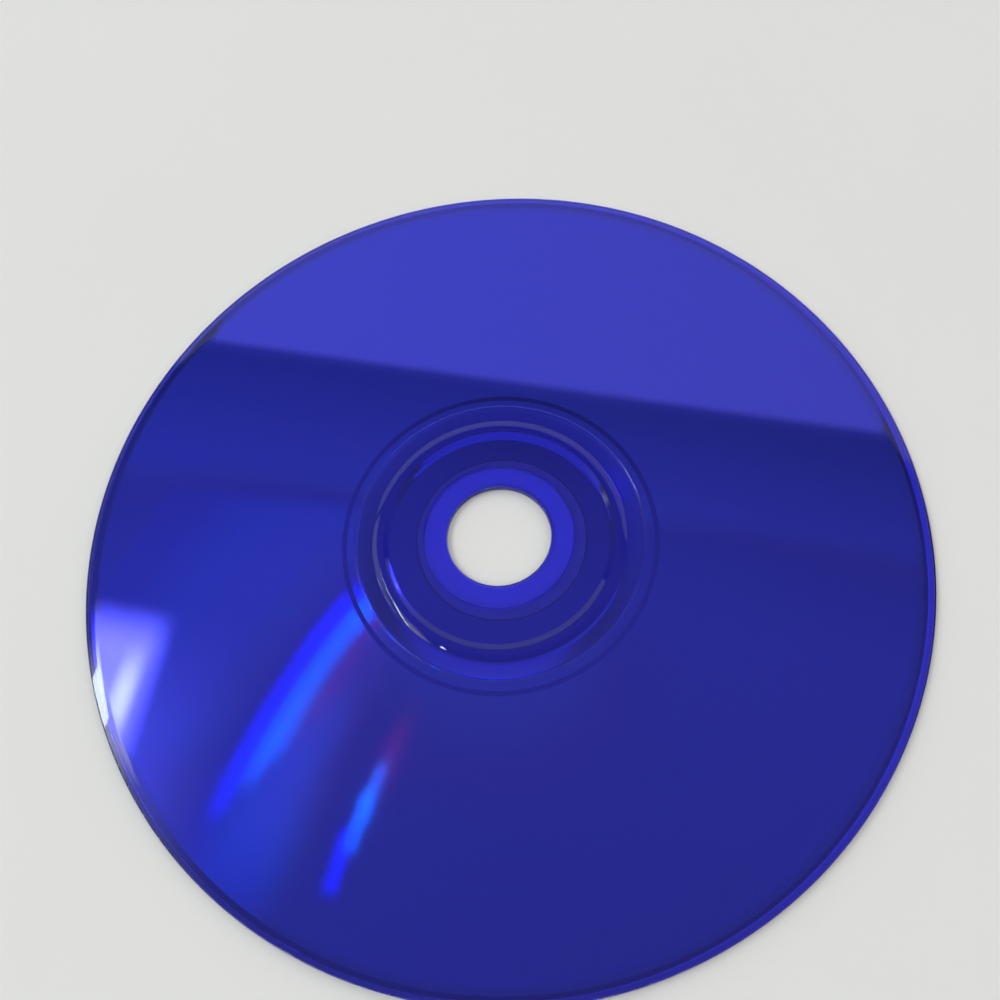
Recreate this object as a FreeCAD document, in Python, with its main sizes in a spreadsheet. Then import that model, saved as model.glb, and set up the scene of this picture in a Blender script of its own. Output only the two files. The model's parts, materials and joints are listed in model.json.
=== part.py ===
import FreeCAD, Part
import os
import Sketcher

# An optical disc that lies with its label side down and its data side up.
# Millimetres, +Z up along the disc's axis, origin on the axis at the underside.
# The moulded substrate carries every relief; the mirror coat fills a shallow seat in its underside.

# Driving sizes: name, value in millimetres, meaning.
DRIVING = [
    ("disc_radius", 60.0, "outer radius of the disc"),
    ("disc_thickness", 1.2, "underside to data side"),
    ("hole_radius", 7.5, "wall of the centre hole"),
    ("hole_bevel", 0.15, "bevel on both edges of the hole"),
    ("rim_bevel", 0.15, "bevel on both edges of the rim"),
    ("rim_fall", 0.064, "how far the data side falls towards the rim"),
    ("rim_fall_width", 1.38, "width of the band over which it falls"),
    ("clear_rim", 0.7, "width of the clear band outside the mirror coat"),
    ("coat_inner_radius", 10.95, "inner edge of the mirror coat"),
    ("coat_thickness", 0.05, "mirror coat with its lacquer"),
    ("coat_rise_foot", 18.3, "radius where the coat starts to rise in a shallow cone"),
    ("coat_rise_peak", 20.4, "radius where the cone steps back down"),
    ("coat_rise_height", 0.225, "how far the cone rises"),
    ("hub_line_radius", 10.8, "middle of the moulded line round the clear hub"),
    ("hub_line_width", 0.16, "mouth of that line"),
    ("hub_line_depth", 0.14, "depth of that line"),
    ("stack_ring_radius", 17.05, "middle of the stacking ring"),
    ("stack_ring_foot", 2.4, "width of the stacking ring where it leaves the face"),
    ("stack_ring_crest", 0.8, "width of its flat crest before it is rounded"),
    ("stack_ring_height", 0.22, "rise of the stacking ring above the data side"),
    ("stack_ring_blend", 0.5, "blend radius at the foot and at the crest"),
    ("mould_line_radius", 20.8, "middle of the line left by the mould's seat"),
    ("mould_line_width", 0.16, "mouth of that line"),
    ("mould_line_depth", 0.027, "depth of that line"),
]
# Sizes that follow from the driving ones: name, formula, meaning.
DERIVED = [
    ("rim_top", "=disc_thickness - rim_fall", "height of the data side at the rim"),
    ("rim_fall_start", "=disc_radius - rim_fall_width", "radius where the data side starts to fall"),
    ("coat_outer_radius", "=disc_radius - clear_rim", "outer edge of the mirror coat"),
    ("coat_rise_top", "=coat_thickness + coat_rise_height", "height of the coat's cone"),
    ("hub_line_in", "=hub_line_radius - hub_line_width / 2", "inner lip of the hub line"),
    ("hub_line_out", "=hub_line_radius + hub_line_width / 2", "outer lip of the hub line"),
    ("hub_line_floor", "=disc_thickness - hub_line_depth", "height of the hub line's bottom"),
    ("stack_foot_in", "=stack_ring_radius - stack_ring_foot / 2", "inner foot of the stacking ring"),
    ("stack_foot_out", "=stack_ring_radius + stack_ring_foot / 2", "outer foot of the stacking ring"),
    ("stack_crest_in", "=stack_ring_radius - stack_ring_crest / 2", "inner edge of its crest"),
    ("stack_crest_out", "=stack_ring_radius + stack_ring_crest / 2", "outer edge of its crest"),
    ("stack_peak", "=disc_thickness + stack_ring_height", "height of its crest"),
    ("mould_line_in", "=mould_line_radius - mould_line_width / 2", "inner lip of the mould line"),
    ("mould_line_out", "=mould_line_radius + mould_line_width / 2", "outer lip of the mould line"),
    ("mould_line_floor", "=disc_thickness - mould_line_depth", "height of the mould line's bottom"),
]
UNDERSIDE = None
FULL_TURN = 360.0
# A sketch's own origin point, as its constraints name it; its first number also names the horizontal axis.
ROOT_POINT = (-1, 1)


def make_sheet(doc):
    """A spreadsheet with one aliased cell for each size."""
    sheet = doc.addObject("Spreadsheet::Sheet", "sizes")
    for row, (name, value, meaning) in enumerate(DRIVING + DERIVED, start=1):
        sheet.set(f"A{row}", name)
        sheet.set(f"B{row}", str(value))
        sheet.setAlias(f"B{row}", name)
        sheet.set(f"C{row}", meaning)
    doc.recompute()
    return sheet


def size(doc, name):
    """The value of a named size; the underside is at height nought."""
    return 0.0 if name is UNDERSIDE else float(doc.sizes.get(name))


def new_body(doc, label):
    """An empty body whose label names the sub-part."""
    body = doc.addObject("PartDesign::Body", label)
    body.Label = label
    return body


def section(body, name, corners):
    """A closed outline of straight edges on the XZ plane, sketch x the radius and y the height.

    Each corner is a pair of size names, and both its coordinates are bound to those cells.
    """
    sketch = body.newObject("Sketcher::SketchObject", name)
    plane = next(item for item in body.Origin.OriginFeatures if item.Role == "XZ_Plane")
    sketch.AttachmentSupport = (plane, [""])
    sketch.MapMode = "FlatFace"
    points = [FreeCAD.Vector(*(size(body.Document, part) for part in corner)) for corner in corners]
    for start, end in zip(points, points[1:] + points[:1]):
        sketch.addGeometry(Part.LineSegment(start, end), False)
    for edge, (radius, height) in enumerate(corners):
        sketch.addConstraint(Sketcher.Constraint("Coincident", (edge - 1) % len(corners), 2, edge, 1))
        bind(sketch, "DistanceX", edge, radius)
        if height is UNDERSIDE:
            sketch.addConstraint(Sketcher.Constraint("PointOnObject", edge, 1, ROOT_POINT[0]))
        else:
            bind(sketch, "DistanceY", edge, height)
    return sketch


def bind(sketch, kind, edge, name):
    """Hold an edge's first point at a named size from the axis or the underside."""
    value = size(sketch.Document, name)
    index = sketch.addConstraint(Sketcher.Constraint(kind, *ROOT_POINT, edge, 1, value))
    sketch.setExpression(f"Constraints[{index}]", f"sizes.{name}")


def turn(body, kind, name, sketch):
    """Carry a section once round the disc's axis, as added (Revolution) or removed (Groove) material."""
    feature = body.newObject(f"PartDesign::{kind}", name)
    feature.Profile = sketch
    feature.ReferenceAxis = (sketch, ["V_Axis"])
    feature.Angle = FULL_TURN
    body.Document.recompute()
    return feature


def cut(body, name, sketch):
    """Remove a section all round and make sure that it took material away."""
    before = body.Shape.Volume
    groove = turn(body, "Groove", name, sketch)
    if groove.Shape.Volume >= before:
        raise RuntimeError(f"{name} cuts nothing")
    return groove


def circles(base, places):
    """Names of the circular edges that lie at each (radius, height) pair of size names."""
    found = []
    for place in places:
        radius, height = (size(base.Document, part) for part in place)
        middle = FreeCAD.Vector(0, 0, height)
        gaps = {}
        for index, edge in enumerate(base.Shape.Edges, start=1):
            if isinstance(edge.Curve, Part.Circle):
                off_centre = edge.Curve.Center.distanceToPoint(middle)
                gaps[f"Edge{index}"] = abs(edge.Curve.Radius - radius) + off_centre
        found.append(min(gaps, key=gaps.get))
    return found


def dress(body, kind, name, base, places, quantity, alias):
    """A fillet or chamfer of one bound size on the circular edges at places."""
    feature = body.newObject(f"PartDesign::{kind}", name)
    feature.Base = (base, circles(base, places))
    feature.setExpression(quantity, f"sizes.{alias}")
    body.Document.recompute()
    return feature


def coat_section(body, name):
    """The ring that the mirror coat fills, used for the coat and for its seat."""
    return section(body, name, [
        ("coat_inner_radius", UNDERSIDE), ("coat_outer_radius", UNDERSIDE),
        ("coat_outer_radius", "coat_thickness"), ("coat_rise_peak", "coat_thickness"),
        ("coat_rise_peak", "coat_rise_top"), ("coat_rise_foot", "coat_thickness"),
        ("coat_inner_radius", "coat_thickness"),
    ])


def make_substrate(doc):
    """The moulded disc: plate, coat seat, two fine lines, stacking ring, and its edges."""
    body = new_body(doc, "substrate")
    rim_edges = [("disc_radius", UNDERSIDE), ("disc_radius", "rim_top")]
    fall_edge = [("rim_fall_start", "disc_thickness")]
    hole_edges = [("hole_radius", "disc_thickness"), ("hole_radius", UNDERSIDE)]
    turn(body, "Revolution", "plate", section(body, "plate_section", rim_edges + fall_edge + hole_edges))
    cut(body, "coat_seat", coat_section(body, "coat_seat_section"))
    for line in ("hub_line", "mould_line"):
        lips = [(f"{line}_in", "disc_thickness"), (f"{line}_out", "disc_thickness")]
        cut(body, line, section(body, f"{line}_section", lips + [(f"{line}_radius", f"{line}_floor")]))

    ring_edges = [
        ("stack_foot_in", "disc_thickness"), ("stack_foot_out", "disc_thickness"),
        ("stack_crest_out", "stack_peak"), ("stack_crest_in", "stack_peak"),
    ]
    ring = turn(body, "Revolution", "stack_ring", section(body, "stack_ring_section", ring_edges))
    blended = dress(body, "Fillet", "stack_ring_flow", ring, ring_edges, "Radius", "stack_ring_blend")
    rimmed = dress(body, "Chamfer", "rim_edges", blended, rim_edges, "Size", "rim_bevel")
    dress(body, "Chamfer", "hole_edges", rimmed, hole_edges, "Size", "hole_bevel")
    return body


def make_reflective_layer(doc):
    """The mirror coat with its lacquer, which fills the seat in the substrate's underside."""
    body = new_body(doc, "reflective_layer")
    turn(body, "Revolution", "coat", coat_section(body, "coat_section"))
    return body


def check(doc, bodies):
    """Stop if any object failed or any sub-part isn't one valid solid."""
    for item in doc.Objects:
        if "Invalid" in item.State or "Error" in item.State:
            raise RuntimeError(f"{item.Name} failed: {item.State}")
    for body in bodies:
        if body.Shape.isNull() or not body.Shape.isValid() or len(body.Shape.Solids) != 1:
            raise RuntimeError(f"{body.Label} isn't one valid solid")


def main():
    """Build the document, check it and write one file for each sub-part."""
    doc = FreeCAD.newDocument("optical_disc")
    make_sheet(doc)
    bodies = [make_substrate(doc), make_reflective_layer(doc)]
    doc.recompute()
    check(doc, bodies)
    os.makedirs("parts", exist_ok=True)
    for body in bodies:
        body.Shape.exportStep(f"parts/{body.Label}.step")
        print(body.Label, "volume", round(body.Shape.Volume, 2), "faces", len(body.Shape.Faces))


main()
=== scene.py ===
"""Looks of an optical game disc: clear blue plastic over a grooved mirror film, on a pale floor.

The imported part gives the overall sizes. Everything is in metres, +Z up along the disc's axis, with the
data side up. Sizes in the classes below are in millimetres and become metres in the meshes.
"""

import json
import logging
import math
from dataclasses import dataclass
from enum import Enum

import bpy
import numpy as np
from mathutils import Matrix, Vector

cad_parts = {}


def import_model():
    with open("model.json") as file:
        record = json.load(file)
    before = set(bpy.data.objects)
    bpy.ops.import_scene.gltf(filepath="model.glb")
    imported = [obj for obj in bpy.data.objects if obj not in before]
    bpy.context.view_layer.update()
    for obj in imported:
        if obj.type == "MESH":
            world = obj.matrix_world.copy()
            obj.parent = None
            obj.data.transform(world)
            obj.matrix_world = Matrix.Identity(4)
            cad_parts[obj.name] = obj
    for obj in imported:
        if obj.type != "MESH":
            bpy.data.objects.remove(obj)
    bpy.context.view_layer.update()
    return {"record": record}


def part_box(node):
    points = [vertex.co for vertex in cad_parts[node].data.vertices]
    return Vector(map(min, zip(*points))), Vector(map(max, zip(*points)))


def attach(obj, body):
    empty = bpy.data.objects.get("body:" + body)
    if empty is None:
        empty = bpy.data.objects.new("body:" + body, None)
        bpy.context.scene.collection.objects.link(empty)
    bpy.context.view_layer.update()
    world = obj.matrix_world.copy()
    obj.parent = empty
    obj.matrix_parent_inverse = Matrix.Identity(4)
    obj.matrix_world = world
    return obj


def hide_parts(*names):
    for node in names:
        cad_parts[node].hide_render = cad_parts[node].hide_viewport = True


MM = 0.001
BODY = "root"
LOG = logging.getLogger("disc")

Colour = tuple[float, float, float]
Value = float | tuple | bpy.types.NodeSocket
WHITE: Colour = (1.0, 1.0, 1.0)
ORDERS = (1, -1)


class Slot(Enum):
    """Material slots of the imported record."""

    PLASTIC = "tinted_plastic"
    COAT = "mirror_coat"


class Hue(Enum):
    """One colour line that the tracks split off: wavelength in nanometres, softness and linear colour."""

    BLUE = (460.0, 0.04, (0.0, 0.0, 0.6))
    AZURE = (525.0, 0.04, (0.0, 1.25, 0.55))
    CYAN = (572.0, 0.05, (0.0, 1.25, 0.45))
    RED = (638.0, 0.09, (1.5, 0.0, 0.0))


class Reach(Enum):
    """What a lamp lights: its value names the kinds of ray that don't see it."""

    ALL = ()
    FLOOR = ("visible_glossy", "visible_transmission")
    GLOSS = ("visible_diffuse",)


class Graph:
    """A node tree with short calls that add nodes and link them."""

    def __init__(self, tree: bpy.types.NodeTree) -> None:
        """Start from an empty tree."""
        self.tree = tree
        tree.nodes.clear()

    def feed(self, socket: bpy.types.NodeSocket, value: Value) -> None:
        """Link a socket to another one, or set its own value.

        Args:
            socket: The input to fill.
            value: An output socket, a number or a tuple.
        """
        if isinstance(value, bpy.types.NodeSocket):
            self.tree.links.new(value, socket)
        else:
            socket.default_value = value

    def add(self, kind: str, inputs: dict[str | int, Value], **settings: object) -> bpy.types.Node:
        """Add one node.

        Args:
            kind: The node's type name.
            inputs: Values or sockets for its inputs, by name or number.
            settings: Its own properties.

        Returns:
            The new node.
        """
        node = self.tree.nodes.new(kind)
        for name, value in settings.items():
            setattr(node, name, value)
        for key, value in inputs.items():
            self.feed(node.inputs[key], value)
        return node

    def math(self, operation: str, *values: Value) -> bpy.types.NodeSocket:
        """The result of one Math node."""
        return self.add("ShaderNodeMath", dict(enumerate(values)), operation=operation).outputs[0]

    def vector(self, operation: str, *values: Value) -> bpy.types.NodeSocket:
        """The vector that one Vector Math node gives."""
        node = self.add("ShaderNodeVectorMath", dict(enumerate(values)), operation=operation)
        return node.outputs["Vector"]

    def measure(self, operation: str, *values: Value) -> bpy.types.NodeSocket:
        """The number that one Vector Math node gives."""
        node = self.add("ShaderNodeVectorMath", dict(enumerate(values)), operation=operation)
        return node.outputs["Value"]

    def ramp(self, value: Value, stops: list[tuple[float, Colour]]) -> bpy.types.NodeSocket:
        """A colour that runs straight between stops.

        Args:
            value: The number that is looked up, from 0 to 1.
            stops: Pairs of position and colour.

        Returns:
            The ramp's colour socket.
        """
        node = self.add("ShaderNodeValToRGB", {"Fac": value})
        elements = node.color_ramp.elements
        while len(elements) < len(stops):
            elements.new(1.0)
        for element, (position, colour) in zip(elements, stops):
            element.position = position
            element.color = (*colour, 1.0)
        return node.outputs["Color"]

    def scale(self, vector: Value, factor: Value) -> bpy.types.NodeSocket:
        """A vector or colour times a number."""
        node = self.add("ShaderNodeVectorMath", {0: vector, "Scale": factor}, operation="SCALE")
        return node.outputs["Vector"]

    def remap(
        self, value: Value, source: tuple[float, float], target: tuple[float, float], smooth: bool = False,
    ) -> bpy.types.NodeSocket:
        """Carry a number from one range to another, held at both ends.

        Args:
            value: The number.
            source: The range it comes from.
            target: The range it goes to.
            smooth: Whether its course eases in and out, and isn't straight.

        Returns:
            The new number's socket.
        """
        ends = {"From Min": source[0], "From Max": source[1], "To Min": target[0], "To Max": target[1]}
        course = "SMOOTHSTEP" if smooth else "LINEAR"
        return self.add("ShaderNodeMapRange", {"Value": value, **ends}, interpolation_type=course).outputs[0]

    def object_point(self) -> bpy.types.NodeSocket:
        """Object coordinates of the shaded point."""
        return self.add("ShaderNodeTexCoord", {}).outputs["Object"]

    def flat_point(self) -> bpy.types.NodeSocket:
        """Object coordinates of the shaded point, without their height."""
        return self.vector("MULTIPLY", self.object_point(), (1.0, 1.0, 0.0))


def new_material(name: str) -> tuple[bpy.types.Material, Graph]:
    """Start a node material.

    Args:
        name: The material's name.

    Returns:
        The material and its empty graph.
    """
    material = bpy.data.materials.new(name)
    material.use_nodes = True
    return material, Graph(material.node_tree)


@dataclass(frozen=True)
class TintedPlastic:
    """Clear polished plastic, dyed deep blue, with painted shade along the hub line and a few short
    hairlines.

    Hairlines are pairs of end points in millimetres on the data side. Painted shade darkens the passing
    light a little at the rim outside the film. The wall of the hole is cut, and dull.
    """

    hole: float
    hub_line: float
    rim: float
    # painted shade at the rim: the share of passing light left there, and the width of its edge
    rim_shade_level: float = 0.9
    rim_shade_softness: float = 0.1
    refraction: float = 1.5
    dye: Colour = (0.0, 0.0, 0.927)
    dye_strength: float = 1400.0
    # painted shade along the hub line: its colour, half width and the share of it that is fully dark
    hub_line_shade_colour: Colour = (0.25, 0.25, 0.4)
    hub_line_shade_half_width: float = 0.06
    hub_line_shade_core: float = 0.5
    wall_dullness: float = 0.4
    wall_margin: float = 0.02
    hairline_dullness: float = 0.25
    hairline_half_width: float = 0.03
    hairlines: tuple[tuple[float, float, float, float], ...] = (
        (-40.45, -31.5, -40.3, -33.2), (-22.3, -3.2, -21.8, -2.8),
    )

    def painted_shade(self, graph: Graph, flat: bpy.types.NodeSocket) -> bpy.types.NodeSocket:
        """Passing light's tint: clear, with painted shade on the line round the hub and a little at the rim.

        Args:
            graph: The material's graph.
            flat: Object coordinates without their height.

        Returns:
            The colour socket.
        """
        radius = graph.measure("LENGTH", flat)
        # painted shade: a dark line stands in for the thin shadow the moulded hub line casts on the floor
        # below
        off_line = graph.math("ABSOLUTE", graph.math("SUBTRACT", radius, self.hub_line * MM))
        half = self.hub_line_shade_half_width * MM
        clear = graph.remap(off_line, (self.hub_line_shade_core * half, half), (0.0, 1.0))
        painted_shade = graph.ramp(clear, [(0.0, self.hub_line_shade_colour), (1.0, WHITE)])
        # painted shade: the passing light darkens at the rim, for the shade on the floor under the clear rim
        rim_edge = ((self.rim - self.rim_shade_softness) * MM, (self.rim + self.rim_shade_softness) * MM)
        return graph.scale(painted_shade, graph.remap(radius, rim_edge, (1.0, self.rim_shade_level)))

    def scratched(self, graph: Graph, flat: bpy.types.NodeSocket) -> bpy.types.NodeSocket:
        """Roughness of the surface: nought but for the hairlines and the wall of the hole.

        The nearest point of a hairline from a to b is a + clamp((p - a).(b - a) / |b - a|^2) (b - a).

        Args:
            graph: The material's graph.
            flat: Object coordinates without their height.

        Returns:
            The roughness socket.
        """
        marks = []
        for x0, y0, x1, y1 in self.hairlines:
            start, span = Vector((x0, y0, 0.0)) * MM, Vector((x1 - x0, y1 - y0, 0.0)) * MM
            offset = graph.vector("SUBTRACT", flat, tuple(start))
            share = graph.measure("DOT_PRODUCT", offset, tuple(span / span.length_squared))
            kept = graph.add("ShaderNodeClamp", {"Value": share}).outputs[0]
            near = graph.measure("DISTANCE", offset, graph.scale(tuple(span), kept))
            marks.append(graph.math("LESS_THAN", near, self.hairline_half_width * MM))
        any_mark = marks[0]
        for mark in marks[1:]:
            any_mark = graph.math("MAXIMUM", any_mark, mark)
        marked = graph.math("MULTIPLY", any_mark, self.hairline_dullness)
        on_wall = graph.math("LESS_THAN", graph.measure("LENGTH", flat), (self.hole + self.wall_margin) * MM)
        return graph.math("MULTIPLY_ADD", on_wall, self.wall_dullness, marked)

    def make(self) -> bpy.types.Material:
        """Build the material.

        The dye is a volume that takes exp(-strength * (1 - dye) * path) of the light.

        Returns:
            The finished material.
        """
        material, graph = new_material("tinted_plastic")
        flat = graph.flat_point()
        surface = graph.add("ShaderNodeBsdfPrincipled", {
            "Base Color": self.painted_shade(graph, flat), "Roughness": self.scratched(graph, flat),
            "IOR": self.refraction, "Transmission Weight": 1.0,
        })
        dye = graph.add("ShaderNodeVolumeAbsorption", {
            "Color": (*self.dye, 1.0), "Density": self.dye_strength,
        })
        graph.add("ShaderNodeOutputMaterial", {
            "Surface": surface.outputs[0], "Volume": dye.outputs[0],
        })
        return material


@dataclass(frozen=True)
class GroovedMirror:
    """Bright metal film pressed with a spiral of fine tracks that spread light into its colours.

    Tracks of one pitch send a colour line off to both sides of the mirror direction, in the plane that
    holds the radius. A gloss lobe whose normal leans along the radius by half of that angle does the same.
    """

    coat: "Coat"
    metal: Colour = (0.35, 0.4, 0.81)
    polish: float = 0.014
    cone_polish: float = 0.08
    cone_blend: tuple[float, float] = (-0.2, 0.4)
    ring_scale: float = 900.0
    ring_detail: float = 3.0
    ring_depth: float = 0.06
    track_pitch_nm: float = 1600.0
    spread: float = 2.84
    strength: float = 0.2
    inner_fade: tuple[float, float] = (0.4, 0.55)
    outer_fade: tuple[float, float] = (2.4, 0.7)
    band: tuple[float, float] = (20.5, 22.1)
    data: tuple[float, float] = (22.8, 58.6)

    def grooved(self, graph: Graph, radius: bpy.types.NodeSocket) -> bpy.types.NodeSocket:
        """One where the film has tracks, and nought on its plain rings.

        Args:
            graph: The material's graph.
            radius: The point's distance from the axis, in metres.

        Returns:
            The mask's socket.
        """
        zones = []
        for inner, outer in (self.band, self.data):
            inside = graph.math("GREATER_THAN", radius, inner * MM)
            within = graph.math("LESS_THAN", radius, outer * MM)
            zones.append(graph.math("MULTIPLY", inside, within))
        return graph.math("ADD", *zones)

    def lobe(self, graph: Graph, outward: bpy.types.NodeSocket, hue: Hue, side: int) -> bpy.types.Node:
        """One colour line to one side of the mirror direction.

        Args:
            graph: The material's graph.
            outward: Unit vector along the radius.
            hue: The colour line.
            side: The grating order, 1 or -1. Each takes its part of the colour.

        Returns:
            A gloss shader whose normal leans along the radius.
        """
        wavelength, softness, colour = hue.value
        lean = side * math.tan(math.asin(wavelength / self.track_pitch_nm / self.spread))
        leant = graph.vector("MULTIPLY_ADD", outward, (lean,) * 3, (0.0, 0.0, 1.0))
        return graph.add("ShaderNodeBsdfAnisotropic", {
            "Color": (*(part / len(ORDERS) for part in colour), 1.0), "Roughness": softness,
            "Normal": graph.vector("NORMALIZE", leant),
        })

    def dullness(self, graph: Graph, radius: bpy.types.NodeSocket) -> bpy.types.NodeSocket:
        """Roughness of the film, which is bright all over but for the cone outside the stacking ring.

        Args:
            graph: The material's graph.
            radius: The point's distance from the axis, in metres.

        Returns:
            The roughness socket.
        """
        foot, peak, _ = self.coat.rise
        start, end = ((foot + offset) * MM for offset in self.cone_blend)
        risen = graph.remap(radius, (start, end), (self.polish, self.cone_polish))
        beyond = graph.math("GREATER_THAN", radius, peak * MM)
        within = graph.math("SUBTRACT", 1.0, beyond)
        return graph.math("MULTIPLY_ADD", beyond, self.polish, graph.math("MULTIPLY", risen, within))

    def tone(
        self, graph: Graph, flat: bpy.types.NodeSocket, radius: bpy.types.NodeSocket,
    ) -> bpy.types.NodeSocket:
        """The metal's colour, with faint rings, growing darker towards the film's two edges.

        Args:
            graph: The material's graph.
            flat: Object coordinates without their height.
            radius: The point's distance from the axis, in metres.

        Returns:
            The colour socket.
        """
        coat = self.coat
        rings = graph.add("ShaderNodeTexNoise", {
            "W": radius, "Scale": self.ring_scale, "Detail": self.ring_detail,
        }, noise_dimensions="1D")
        bounds = (1.0 - self.ring_depth, 1.0 + self.ring_depth)
        level = graph.remap(rings.outputs["Fac"], (0.0, 1.0), bounds)
        # the metal's colour darkens towards the film's inner and outer edges
        edges = (
            (coat.shift, coat.film_inner, 1.0, self.inner_fade),
            (tuple(coat.outer_share * part for part in coat.shift), coat.outer, -1.0, self.outer_fade),
        )
        for middle, edge, side, (width, least) in edges:
            reach = graph.measure("DISTANCE", flat, (middle[0] * MM, middle[1] * MM, 0.0))
            inside = graph.math("MULTIPLY", graph.math("SUBTRACT", reach, edge * MM), side)
            fade = graph.remap(inside, (0.0, width * MM), (least, 1.0), smooth=True)
            level = graph.math("MULTIPLY", level, fade)
        return graph.scale(self.metal, level)

    def make(self) -> bpy.types.Material:
        """Build the material: plain mirror, with the colour lines added where there are tracks.

        Returns:
            The finished material.
        """
        material, graph = new_material("grooved_mirror")
        flat = graph.flat_point()
        radius = graph.measure("LENGTH", flat)
        outward = graph.vector("NORMALIZE", flat)
        mirror = graph.add("ShaderNodeBsdfPrincipled", {
            "Base Color": self.tone(graph, flat, radius), "Metallic": 1.0,
            "Roughness": self.dullness(graph, radius),
        })
        spectrum = None
        for hue in Hue:
            for side in ORDERS:
                lobe = self.lobe(graph, outward, hue, side)
                if spectrum is not None:
                    lobe = graph.add("ShaderNodeAddShader", {0: spectrum.outputs[0], 1: lobe.outputs[0]})
                spectrum = lobe
        share = graph.math("MULTIPLY", self.grooved(graph, radius), self.strength)
        mixed = graph.add("ShaderNodeMixShader", {
            0: share, 1: mirror.outputs[0], 2: spectrum.outputs[0],
        })
        graph.add("ShaderNodeOutputMaterial", {"Surface": mixed.outputs[0]})
        return material


@dataclass(frozen=True)
class SealLacquer:
    """Satin silver lacquer that seals the film on the label side."""

    colour: Colour = (0.7, 0.71, 0.73)
    metallic: float = 0.6
    roughness: float = 0.42
    grain_scale: float = 900.0
    grain_detail: float = 3.0
    grain_depth: float = 0.06

    def make(self) -> bpy.types.Material:
        """Build the material.

        Returns:
            The finished material.
        """
        material, graph = new_material("seal_lacquer")
        grain = graph.add("ShaderNodeTexNoise", {
            "Vector": graph.object_point(), "Scale": self.grain_scale, "Detail": self.grain_detail,
        })
        bounds = (self.roughness - self.grain_depth, self.roughness + self.grain_depth)
        surface = graph.add("ShaderNodeBsdfPrincipled", {
            "Base Color": (*self.colour, 1.0), "Metallic": self.metallic,
            "Roughness": graph.remap(grain.outputs["Fac"], (0.0, 1.0), bounds),
        })
        graph.add("ShaderNodeOutputMaterial", {"Surface": surface.outputs[0]})
        return material


@dataclass(frozen=True)
class PaleFloor:
    """Plain matt pale surface with a faint cloudiness."""

    colour: Colour = (0.735, 0.737, 0.75)
    cloud: float = 0.02
    cloud_scale: float = 22.0
    cloud_detail: float = 4.0
    roughness: float = 0.75
    specular: float = 0.2

    def make(self) -> bpy.types.Material:
        """Build the material.

        Returns:
            The finished material.
        """
        material, graph = new_material("pale_floor")
        clouds = graph.add("ShaderNodeTexNoise", {
            "Vector": graph.object_point(), "Scale": self.cloud_scale, "Detail": self.cloud_detail,
        })
        level = graph.remap(clouds.outputs["Fac"], (0.0, 1.0), (1.0 - self.cloud, 1.0 + self.cloud))
        surface = graph.add("ShaderNodeBsdfPrincipled", {
            "Base Color": graph.scale(self.colour, level), "Roughness": self.roughness,
            "Specular IOR Level": self.specular,
        })
        graph.add("ShaderNodeOutputMaterial", {"Surface": surface.outputs[0]})
        return material


@dataclass(frozen=True)
class Corner:
    """One corner of a turned section: radius and height in millimetres, rounding, and off-centre share."""

    radius: float
    height: float
    rounding: float
    off_centre: float = 0.0


@dataclass(frozen=True)
class Turning:
    """A closed section carried once round the disc's axis.

    Each corner is an arc tangent to both of its runs: with turn angle a, the arc starts and ends
    rounding * tan(a / 2) from the corner. A point a little way along each run holds the flat faces flat.
    """

    name: str
    corners: tuple[Corner, ...]
    shift: tuple[float, float] = (0.0, 0.0)
    turns: int = 512
    arc_steps: int = 6
    hold: float = 0.05
    hold_share: float = 0.25

    def section(self) -> tuple[np.ndarray, np.ndarray]:
        """Work out the rounded outline.

        Returns:
            Outline points as rows of radius and height, and the off-centre share of each.
        """
        points = np.array([(c.radius, c.height) for c in self.corners])
        rounding = np.array([c.rounding for c in self.corners])
        share = np.array([c.off_centre for c in self.corners])
        runs = np.roll(points, -1, axis=0) - points
        lengths = np.linalg.norm(runs, axis=1)
        ahead = runs / lengths[:, None]
        behind = np.roll(ahead, 1, axis=0)
        cross = behind[:, 0] * ahead[:, 1] - behind[:, 1] * ahead[:, 0]
        turn = np.arctan2(np.abs(cross), np.sum(behind * ahead, axis=1))
        reach = rounding * np.tan(turn / 2)
        side = np.sign(cross)[:, None] * np.stack([-behind[:, 1], behind[:, 0]], axis=1)

        angle = turn[:, None] * np.linspace(0.0, 1.0, self.arc_steps)
        along = (rounding[:, None] * np.sin(angle))[:, :, None] * behind[:, None, :]
        across = (rounding[:, None] * (1.0 - np.cos(angle)))[:, :, None] * side[:, None, :]
        start = points - reach[:, None] * behind
        arcs = start[:, None, :] + along + across

        free = lengths - reach - np.roll(reach, -1)
        held = np.minimum(self.hold, self.hold_share * free)
        before = start - np.roll(held, 1)[:, None] * behind
        after = points + (reach + held)[:, None] * ahead
        outline = np.concatenate([before[:, None, :], arcs, after[:, None, :]], axis=1)
        return outline.reshape(-1, 2), np.repeat(share, self.arc_steps + 2)

    def build(self) -> bpy.types.Object:
        """Make the mesh: x = r cos t + e sx, y = r sin t + e sy, z = h over the section and one turn.

        Returns:
            The new object, at the origin.
        """
        outline, share = self.section()
        angle = np.linspace(0.0, math.tau, self.turns, endpoint=False)
        grid = np.empty((len(outline), self.turns, 3))
        grid[:, :, 0] = outline[:, :1] * np.cos(angle) + share[:, None] * self.shift[0]
        grid[:, :, 1] = outline[:, :1] * np.sin(angle) + share[:, None] * self.shift[1]
        grid[:, :, 2] = outline[:, 1:]
        return closed_grid(self.name, grid * MM)


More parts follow.
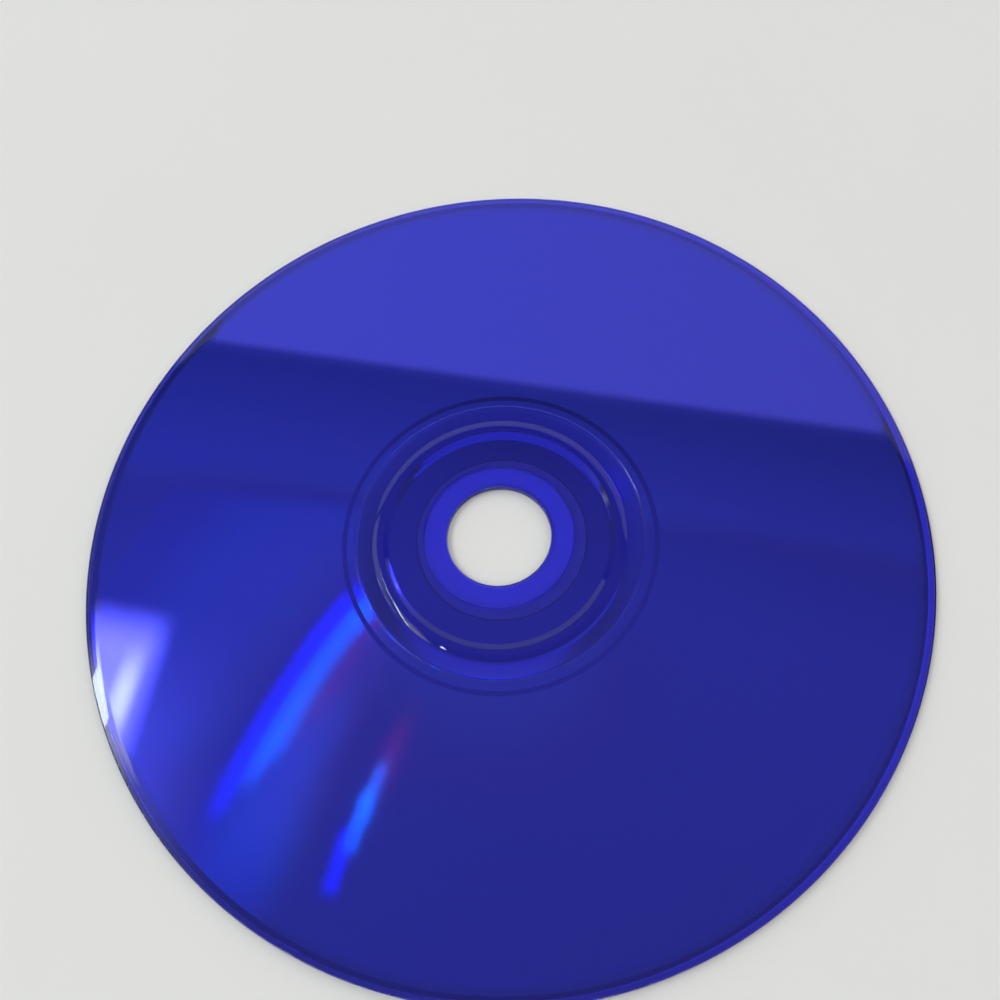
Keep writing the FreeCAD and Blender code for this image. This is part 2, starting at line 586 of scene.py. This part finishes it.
def closed_grid(name: str, grid: np.ndarray) -> bpy.types.Object:
    """A smooth mesh of quads from a grid of points that closes on itself both ways.

    Args:
        name: The piece's name.
        grid: Points, by section station and by turn.

    Returns:
        The new object, linked to the scene.
    """
    stations, turns = grid.shape[:2]
    number = np.arange(stations * turns).reshape(stations, turns)
    beside = np.roll(number, -1, axis=1)
    quads = np.stack([number, beside, np.roll(beside, -1, axis=0), np.roll(number, -1, axis=0)], axis=-1)
    mesh = bpy.data.meshes.new(name)
    mesh.from_pydata(grid.reshape(-1, 3), [], quads.reshape(-1, 4))
    mesh.polygons.foreach_set("use_smooth", np.ones(len(mesh.polygons), dtype=bool))
    mesh.update()
    piece = bpy.data.objects.new(name, mesh)
    bpy.context.scene.collection.objects.link(piece)
    return piece


def settle(piece: bpy.types.Object, material: bpy.types.Material, slot: Slot, *nodes: str) -> None:
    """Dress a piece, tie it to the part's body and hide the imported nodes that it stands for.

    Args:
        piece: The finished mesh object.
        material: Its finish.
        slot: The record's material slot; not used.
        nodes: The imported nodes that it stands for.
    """
    piece.data.materials.append(material)
    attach(piece, BODY)
    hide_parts(*nodes)
    LOG.info("%s: %d faces", piece.name, len(piece.data.polygons))


@dataclass(frozen=True)
class Coat:
    """The mirror coat in the disc's underside: a film bonded to the plastic, and lacquer that seals it.

    The film's edges sit a little off centre. Film and lacquer bite into the plastic by a hair, as they are
    bonded to it. Outside the stacking ring the coat rises in a shallow cone, and steps back down.
    """

    inner: float = 10.95
    film_inner: float = 12.1
    outer: float = 59.3
    thickness: float = 0.05
    film_bottom: float = 0.028
    bite: float = 0.002
    edge: float = 0.003
    shift: tuple[float, float] = (0.3, -0.16)
    outer_share: float = -0.6
    rise: tuple[float, float, float] = (18.3, 20.4, 20.43)
    rise_height: float = 0.225
    rise_blend: float = 0.3

    def roof(self, first: Corner, bite: float) -> list[Corner]:
        """Corners of the upper side, met from inside outwards.

        Args:
            first: The inner corner, which also gives the height of the flat part.
            bite: How far the outer corner reaches into the plastic.

        Returns:
            The inner corner, the foot and peak of the cone, its step back down, and the outer corner.
        """
        foot, peak, back = self.rise
        base = first.height
        return [
            first, Corner(foot, base, self.rise_blend), Corner(peak, base + self.rise_height, self.edge),
            Corner(back, base, self.edge), Corner(self.outer + bite, base, self.edge, self.outer_share),
        ]

    def seat(self) -> list[Corner]:
        """Corners of the seat in the plastic, met from inside outwards."""
        lip, wall = Corner(self.inner, 0.0, self.edge), Corner(self.inner, self.thickness, self.edge)
        return [lip, *self.roof(wall, 0.0), Corner(self.outer, 0.0, self.edge, self.outer_share)]

    def film(self) -> bpy.types.Object:
        """Turn the metal film.

        Returns:
            The film's object.
        """
        inner, outer = self.film_inner, self.outer + self.bite
        below = [
            Corner(inner, self.film_bottom, self.edge, 1.0),
            Corner(outer, self.film_bottom, self.edge, self.outer_share),
        ]
        above = self.roof(Corner(inner, self.thickness + self.bite, self.edge, 1.0), self.bite)
        return Turning("mirror_film", (*below, *above[::-1]), self.shift).build()

    def lacquer(self) -> bpy.types.Object:
        """Turn the lacquer, which lies under the film and reaches further in than it does.

        Returns:
            The lacquer's object.
        """
        inner, outer, step = self.inner - self.bite, self.outer - self.bite, self.film_inner - self.bite
        under, over, lowest = self.film_bottom - self.bite, self.thickness + self.bite, 0.5 * self.bite
        corners = (
            Corner(inner, lowest, self.edge), Corner(outer, lowest, self.edge, self.outer_share),
            Corner(outer, under, self.edge, self.outer_share), Corner(step, under, self.edge, 1.0),
            Corner(step, over, self.edge, 1.0), Corner(inner, over, self.edge),
        )
        return Turning("seal_lacquer", corners, self.shift).build()


@dataclass(frozen=True)
class Disc:
    """The moulded plastic disc with its hub line, stacking ring, mould line and rounded edges."""

    radius: float
    hole: float
    coat: Coat
    thickness: float = 1.2
    edge: float = 0.15
    rim_fall: float = 0.04
    rim_fall_start: float = 58.45
    rim_fall_blend: float = 27.0
    hub_line: tuple[float, float, float] = (10.8, 0.16, 0.14)
    mould_line: tuple[float, float, float] = (20.8, 0.16, 0.027)
    lip_share: float = 0.2
    ring_middle: float = 17.05
    ring_foot: float = 2.4
    ring_crest: float = 0.8
    ring_height: float = 0.22
    ring_blend: float = 0.5
    ring_bow: tuple[float, float] = (0.848, 0.117)
    ring_bow_blends: tuple[float, float, float] = (0.3, 6.6, 1.2)

    def groove(self, middle: float, width: float, depth: float) -> list[Corner]:
        """Work out a fine moulded line.

        Args:
            middle: The radius of its middle.
            width: The width of its mouth.
            depth: Its depth.

        Returns:
            Its corners, met from outside inwards: outer lip, bottom and inner lip.
        """
        lip, top = self.lip_share * width, self.thickness
        floor = Corner(middle, top - depth, lip)
        return [Corner(middle + width / 2, top, lip), floor, Corner(middle - width / 2, top, lip)]

    def stacking_ring(self) -> list[Corner]:
        """Work out the raised ring, whose outer flank is bowed out a little.

        Returns:
            Its corners, met from outside inwards: foot, bow, both sides of the crest, and inner foot.
        """
        foot, crest = (self.ring_foot / 2, 0.0), (self.ring_crest / 2, self.ring_height)
        places = [foot, self.ring_bow, crest, (-crest[0], crest[1]), (-foot[0], foot[1])]
        blends = [*self.ring_bow_blends, self.ring_blend, self.ring_blend]
        return [
            Corner(self.ring_middle + offset, self.thickness + height, blend)
            for (offset, height), blend in zip(places, blends)
        ]

    def build(self) -> bpy.types.Object:
        """Turn the disc's section, from the hole along the underside, up the rim and back along the top.

        Returns:
            The disc's object.
        """
        underside = [
            Corner(self.hole, 0.0, self.edge), *self.coat.seat(), Corner(self.radius, 0.0, self.edge),
        ]
        top = [
            Corner(self.radius, self.thickness - self.rim_fall, self.edge),
            Corner(self.rim_fall_start, self.thickness, self.rim_fall_blend), *self.groove(*self.mould_line),
            *self.stacking_ring(), *self.groove(*self.hub_line),
            Corner(self.hole, self.thickness, self.edge),
        ]
        return Turning("substrate_shell", (*underside, *top), self.coat.shift).build()


@dataclass(frozen=True)
class CeilingLamp:
    """A flat lamp overhead: its height in metres, and its spans along the rig's axes in shares of that.

    Its edges fade over shares of its two spans. It may be turned a little about its own middle.
    """

    name: str
    height: float
    across: tuple[float, float]
    along: tuple[float, float]
    radiance: float
    fade: tuple[float, float]
    turn_deg: float = 0.0
    colour: Colour = WHITE
    reach: Reach = Reach.ALL

    def soften(self, light: bpy.types.AreaLight) -> None:
        """Let the glow rise smoothly from nought at the lamp's edges to one.

        Args:
            light: The lamp's light, whose own span runs from 0 to 1 both ways.
        """
        light.use_nodes = True
        graph = Graph(light.node_tree)
        place = graph.add("ShaderNodeNewGeometry", {}).outputs["Parametric"]
        fades = []
        for part, share in zip(graph.add("ShaderNodeSeparateXYZ", {0: place}).outputs, self.fade):
            nearest = graph.math("MINIMUM", part, graph.math("SUBTRACT", 1.0, part))
            fades.append(graph.remap(nearest, (0.0, share), (0.0, 1.0), smooth=True))
        emission = graph.add("ShaderNodeEmission", {"Strength": graph.math("MULTIPLY", *fades)})
        graph.add("ShaderNodeOutputLight", {"Surface": emission.outputs[0]})


@dataclass(frozen=True)
class Studio:
    """Floor, soft surrounding light, overhead lamps and camera."""

    rig_turn_deg: float = -20.7
    far_wall: tuple[float, float, float] = (0.378, 1.0, -0.583)
    side_fall: Colour = (-0.05, -0.2, -0.3)
    room: tuple[tuple[float, Colour], ...] = (
        (0.2, (0.31, 0.31, 0.3)), (0.3, (0.35, 0.35, 0.37)), (0.39, (0.36, 0.37, 0.4)),
        (0.45, (0.3, 0.31, 0.345)), (0.49, (0.2, 0.21, 0.2)), (0.4995, (0.18, 0.19, 0.175)),
        (0.5035, (0.87, 0.86, 0.7)), (1.0, (0.87, 0.86, 0.7)),
    )
    backdrop: Colour = (0.76, 0.76, 0.75)
    lens: float = 34.0
    sensor: float = 36.0
    clip: tuple[float, float] = (0.005, 50.0)
    camera_place: tuple[float, float, float] = (1.08, -48.008, 127.267)
    camera_tilt_deg: float = 22.928
    camera_roll_deg: float = -10.344
    floor_half: float = 4.0
    floor_gap: float = 0.02
    lamps: tuple[CeilingLamp, ...] = (
        CeilingLamp(
            "long_tube", 2.1, (-0.642, -0.598), (-0.34, 0.15), 15.0, (0.02, 0.15), -2.5, (0.84, 1.0, 1.0),
        ),
        CeilingLamp("short_tube", 2.1, (-0.355, -0.32), (-0.405, -0.31), 20.0, (0.02, 0.2)),
        CeilingLamp(
            "side_tube", 2.15, (-0.555, -0.513), (0.01, 0.155), 8.5, (0.45, 0.45), 0.0, (0.84, 1.0, 1.0),
        ),
        CeilingLamp("side_panel", 2.2, (-0.66, -0.49), (-0.05, 0.2), 4.5, (0.25, 0.25)),
        CeilingLamp("tube_glow", 2.25, (-0.72, -0.42), (-0.55, -0.12), 2.4, (0.35, 0.35)),
        CeilingLamp("side_window", 2.35, (-1.2, -0.74), (-0.3, 0.5), 0.9, (0.08, 0.08)),
        CeilingLamp("side_glow", 2.4, (-0.74, -0.36), (-0.3, 0.22), 0.9, (0.5, 0.5)),
        CeilingLamp("key_panel", 2.3, (-1.0, 1.0), (-2.0, -0.9), 6.55, (0.06, 0.06), reach=Reach.GLOSS),
        CeilingLamp("floor_side", 2.5, (-0.75, -0.55), (-0.4, 0.4), 4.0, (0.1, 0.1), reach=Reach.FLOOR),
        CeilingLamp("floor_sky", 2.6, (-2.0, 2.0), (-2.0, 2.0), 0.41, (0.1, 0.1), reach=Reach.FLOOR),
    )

    def floor(self) -> None:
        """Lay a plain pale floor just under the disc."""
        mesh = bpy.data.meshes.new("floor")
        half, level = self.floor_half, -self.floor_gap * MM
        corners = [(-half, -half, level), (half, -half, level), (half, half, level), (-half, half, level)]
        mesh.from_pydata(corners, [], [(0, 1, 2, 3)])
        mesh.materials.append(PaleFloor().make())
        floor = bpy.data.objects.new("floor", mesh)
        bpy.context.scene.collection.objects.link(floor)

    def surroundings(self) -> None:
        """Light the room evenly, with a brighter wall beyond one straight edge.

        The level follows the height above the plane through the disc and that edge.
        """
        world = bpy.data.worlds.new("surroundings")
        bpy.context.scene.world = world
        world.use_nodes = True
        graph = Graph(world.node_tree)
        direction = graph.add("ShaderNodeTexCoord", {}).outputs["Generated"]
        above = graph.measure("DOT_PRODUCT", direction, tuple(Vector(self.far_wall).normalized()))
        place = graph.math("MULTIPLY_ADD", above, 0.5, 0.5)
        level = graph.ramp(place, list(self.room))
        rig_across = Matrix.Rotation(math.radians(self.rig_turn_deg), 3, "Z") @ Vector((1.0, 0.0, 0.0))
        sideways = graph.measure("DOT_PRODUCT", direction, tuple(rig_across))
        span = graph.add("ShaderNodeCombineXYZ", {axis: sideways for axis in range(3)}).outputs[0]
        share = graph.vector("MULTIPLY_ADD", span, self.side_fall, WHITE)
        shaded = graph.vector("MULTIPLY", level, share)
        path = graph.add("ShaderNodeLightPath", {})
        pale = graph.add("ShaderNodeMixRGB", {
            "Fac": path.outputs["Is Camera Ray"], "Color1": shaded, "Color2": (*self.backdrop, 1.0),
        })
        background = graph.add("ShaderNodeBackground", {"Color": pale.outputs[0], "Strength": 1.0})
        graph.add("ShaderNodeOutputWorld", {"Surface": background.outputs[0]})

    def hang(self, lamp: CeilingLamp) -> None:
        """Hang one lamp in the rig, facing down.

        A flat lamp of radiance L and area A has the power pi * L * A.

        Args:
            lamp: The lamp to hang.
        """
        height = lamp.height
        width, length = (height * (high - low) for low, high in (lamp.across, lamp.along))
        light = bpy.data.lights.new(lamp.name, "AREA")
        light.shape = "RECTANGLE"
        light.size, light.size_y = width, length
        light.energy, light.color = math.pi * lamp.radiance * width * length, lamp.colour
        lamp.soften(light)
        rig, own = (Matrix.Rotation(math.radians(a), 4, "Z") for a in (self.rig_turn_deg, lamp.turn_deg))
        middle = Vector((sum(lamp.across) / 2, sum(lamp.along) / 2, 1.0)) * height
        holder = bpy.data.objects.new(lamp.name, light)
        holder.matrix_world = rig @ Matrix.Translation(middle) @ own
        for kind in ("visible_camera", *lamp.reach.value):
            setattr(holder, kind, False)
        bpy.context.scene.collection.objects.link(holder)

    def camera(self) -> None:
        """Set the camera above the disc, tipped towards it and turned about its own axis."""
        data = bpy.data.cameras.new("camera")
        data.sensor_width, data.lens = self.sensor, self.lens
        data.clip_start, data.clip_end = self.clip
        camera = bpy.data.objects.new("camera", data)
        tilt = Matrix.Rotation(math.radians(self.camera_tilt_deg), 4, "X")
        roll = Matrix.Rotation(math.radians(self.camera_roll_deg), 4, "Z")
        camera.matrix_world = Matrix.Translation(Vector(self.camera_place) * MM) @ tilt @ roll
        bpy.context.scene.collection.objects.link(camera)
        bpy.context.scene.camera = camera

    def build(self) -> None:
        """Set up the floor, the light and the camera."""
        self.floor()
        self.surroundings()
        for lamp in self.lamps:
            self.hang(lamp)
            LOG.info("lamp %s", lamp.name)
        self.camera()
        scene = bpy.context.scene
        scene.view_settings.view_transform = "Standard"
        scene.cycles.use_denoising = True
        scene.cycles.blur_glossy = 0.0


def main() -> None:
    """Load the frame, build and dress the disc, and set up the studio."""
    logging.basicConfig(level=logging.INFO, format="%(name)s: %(message)s")
    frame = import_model()
    hole = next(m for m in frame["record"]["mounts"] if m["name"] == "centre_hole")["dims"]["r_mm"]
    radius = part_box("substrate")[1].x / MM
    coat = Coat()
    disc = Disc(radius, hole, coat)
    settle(disc.build(), TintedPlastic(hole, disc.hub_line[0], coat.outer).make(), Slot.PLASTIC, "substrate")
    settle(coat.film(), GroovedMirror(coat).make(), Slot.COAT, "reflective_layer")
    settle(coat.lacquer(), SealLacquer().make(), Slot.COAT, "reflective_layer")
    Studio().build()


if __name__ == "__main__":
    main()
